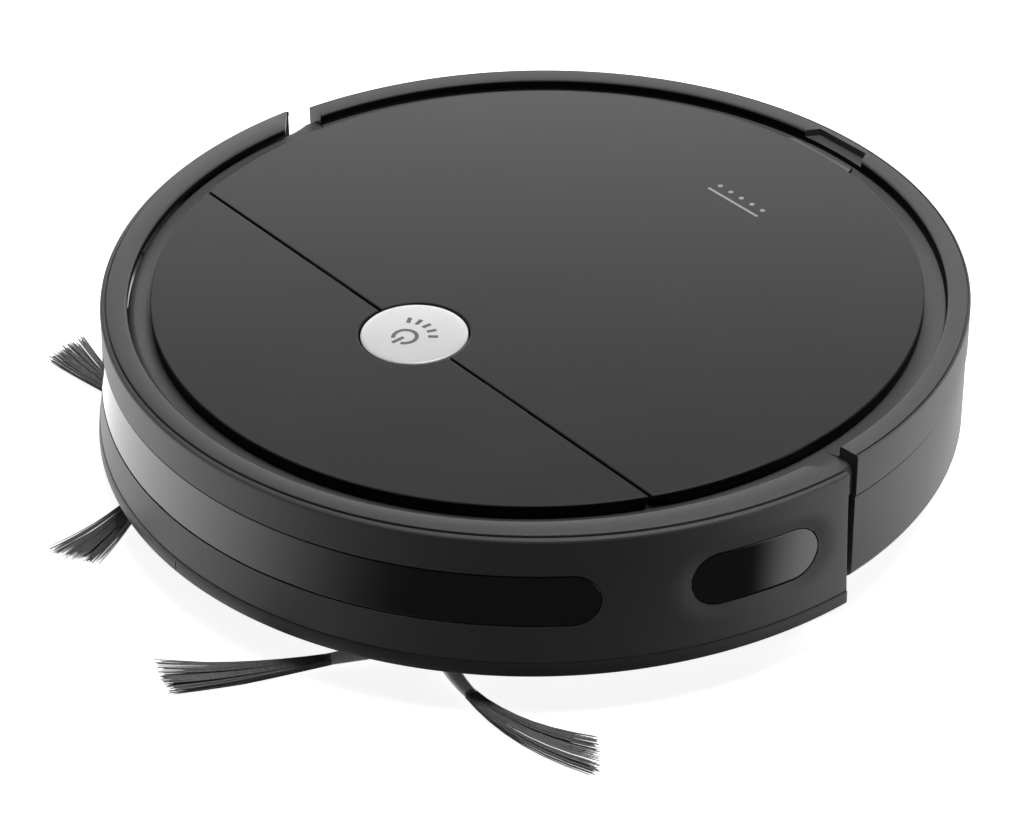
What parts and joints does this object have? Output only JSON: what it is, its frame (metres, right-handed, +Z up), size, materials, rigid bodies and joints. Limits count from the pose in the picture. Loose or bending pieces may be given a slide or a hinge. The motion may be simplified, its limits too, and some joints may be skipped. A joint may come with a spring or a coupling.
{
  "type": "robot vacuum",
  "caption": "Low round robot vacuum with a spring bumper, hinged lid over a dust bin, drive wheels, caster, side brushes, main roller and internal fan and battery.",
  "frame": {"origin": "on the floor, at the centre of the footprint with the side brushes included; the body's own vertical axis is 17.1 mm behind it", "axes": "+Z up; -Y forward, the bumper's side; +X to the right when looking along +Y"},
  "size_m": [0.3316, 0.352, 0.0721],
  "materials": {
    "shell_plastic": "fine-textured black plastic, satin",
    "lid_plastic": "fine-grained black plastic, semi-matte",
    "window_plastic": "polished infrared-passing dark plastic",
    "button_plastic": "pearl silver, satin gloss",
    "inner_plastic": "moulded dark grey plastic",
    "bin_plastic": "smoked plastic",
    "white_plastic": "moulded white plastic",
    "tyre_rubber": "ribbed soft rubber",
    "strip_rubber": "soft black strip",
    "switch_plastic": "black rocker",
    "steel": "plain steel",
    "contact_metal": "plated contacts",
    "bristles": "grey nylon bristles",
    "circuit_board": "solder-masked board",
    "filter_paper": "pleated paper",
    "battery_wrap": "shrink-wrapped metal cells"
  },
  "bodies": {
    "chassis": {"lower_chassis": "shell_plastic", "upper_housing": "shell_plastic", "front_cover": "lid_plastic", "ir_sensor_board": "circuit_board", "bumper_switch_right": "inner_plastic", "bumper_switch_left": "inner_plastic", "side_brush_motor_right": "steel", "side_brush_motor_left": "steel", "arm_pivot_pin_right": "steel", "arm_pivot_pin_left": "steel", "arm_spring_right": "steel", "arm_spring_left": "steel", "lid_hinge_pin_right": "steel", "lid_hinge_pin_left": "steel", "roller_chamber": "inner_plastic", "roller_guard": "inner_plastic", "roller_gearbox": "inner_plastic", "roller_motor": "steel", "dust_bin": "bin_plastic", "bin_cover": "inner_plastic", "bin_filter": "filter_paper", "fan_housing": "inner_plastic", "fan_cover": "inner_plastic", "fan_motor": "steel", "battery_pack": "battery_wrap", "battery_cover": "shell_plastic", "main_board": "circuit_board", "button_switch": "inner_plastic", "cliff_sensor_1": "window_plastic", "cliff_sensor_2": "window_plastic", "cliff_sensor_3": "window_plastic", "charge_contact_right": "contact_metal", "charge_contact_left": "contact_metal", "exhaust_grille": "inner_plastic", "power_switch_body": "inner_plastic", "power_jack": "inner_plastic"},
    "lid": {"rear_lid": "lid_plastic"},
    "button": {"main_button": "button_plastic"},
    "bumper": {"bumper": "shell_plastic", "ir_window": "window_plastic", "side_window_right": "window_plastic", "side_window_left": "window_plastic", "bumper_strip": "strip_rubber"},
    "side_brush_right": {"side_brush_hub_right": "inner_plastic", "side_brush_bristles_right": "bristles"},
    "side_brush_left": {"side_brush_hub_left": "inner_plastic", "side_brush_bristles_left": "bristles"},
    "wheel_arm_right": {"wheel_gearbox_right": "inner_plastic"},
    "wheel_arm_left": {"wheel_gearbox_left": "inner_plastic"},
    "wheel_right": {"drive_wheel_right": "inner_plastic", "drive_tyre_right": "tyre_rubber"},
    "wheel_left": {"drive_wheel_left": "inner_plastic", "drive_tyre_left": "tyre_rubber"},
    "caster_swivel": {"caster_fork": "inner_plastic"},
    "caster_wheel": {"caster_wheel": "tyre_rubber", "caster_axle": "steel"},
    "main_roller": {"roller_core": "inner_plastic", "roller_bristles": "bristles"},
    "fan": {"fan_impeller": "white_plastic"},
    "rocker": {"power_rocker": "switch_plastic"}
  },
  "joints": [
    {"name": "lid_hinge", "type": "hinge", "parent": "chassis", "child": "lid", "pos_m": [0, -0.03832, 0.07], "axis": [1, 0, 0], "range_deg": [0, 75]},
    {"name": "main_button_press", "type": "slide", "parent": "chassis", "child": "button", "axis": [0, 0, -1], "range_m": [0, 0.001], "stiffness_N_per_m": 900, "springref_m": -0.0012},
    {"name": "bumper_push", "type": "slide", "parent": "chassis", "child": "bumper", "axis": [0, 1, 0], "range_m": [0, 0.004], "stiffness_N_per_m": 600, "springref_m": -0.003},
    {"name": "side_brush_right_spin", "type": "hinge", "parent": "chassis", "child": "side_brush_right", "pos_m": [0.078, -0.09192, 0.008], "axis": [0, 0, 1], "continuous": true, "deforming": ["side_brush_bristles_right"]},
    {"name": "side_brush_left_spin", "type": "hinge", "parent": "chassis", "child": "side_brush_left", "pos_m": [-0.078, -0.09192, 0.008], "axis": [0, 0, 1], "continuous": true, "deforming": ["side_brush_bristles_left"]},
    {"name": "suspension_right", "type": "hinge", "parent": "chassis", "child": "wheel_arm_right", "pos_m": [0.0965, -0.02392, 0.036], "axis": [-1, 0, 0], "range_deg": [0, 14], "stiffness_Nm_per_rad": 0.3, "springref_deg": 34.38},
    {"name": "drive_wheel_right_roll", "type": "hinge", "parent": "wheel_arm_right", "child": "wheel_right", "pos_m": [0.1145, 0.01708, 0.029], "axis": [1, 0, 0], "continuous": true},
    {"name": "suspension_left", "type": "hinge", "parent": "chassis", "child": "wheel_arm_left", "pos_m": [-0.0965, -0.02392, 0.036], "axis": [-1, 0, 0], "range_deg": [0, 14], "stiffness_Nm_per_rad": 0.3, "springref_deg": 34.38},
    {"name": "drive_wheel_left_roll", "type": "hinge", "parent": "wheel_arm_left", "child": "wheel_left", "pos_m": [-0.1145, 0.01708, 0.029], "axis": [1, 0, 0], "continuous": true},
    {"name": "caster_turn", "type": "hinge", "parent": "chassis", "child": "caster_swivel", "pos_m": [0, -0.10092, 0.028], "axis": [0, 0, 1], "continuous": true},
    {"name": "caster_roll", "type": "hinge", "parent": "caster_swivel", "child": "caster_wheel", "pos_m": [0, -0.09492, 0.01], "axis": [1, 0, 0], "continuous": true},
    {"name": "main_roller_spin", "type": "hinge", "parent": "chassis", "child": "main_roller", "pos_m": [0, 0.05508, 0.0193], "axis": [1, 0, 0], "continuous": true},
    {"name": "fan_spin", "type": "hinge", "parent": "chassis", "child": "fan", "pos_m": [0.105, 0.09308, 0.038], "axis": [0, 0, 1], "continuous": true},
    {"name": "power_rocker_tip", "type": "hinge", "parent": "chassis", "child": "rocker", "pos_m": [-0.13739, 0.09013, 0.038], "axis": [0, 0, 1], "range_deg": [0, 12]}
  ]
}
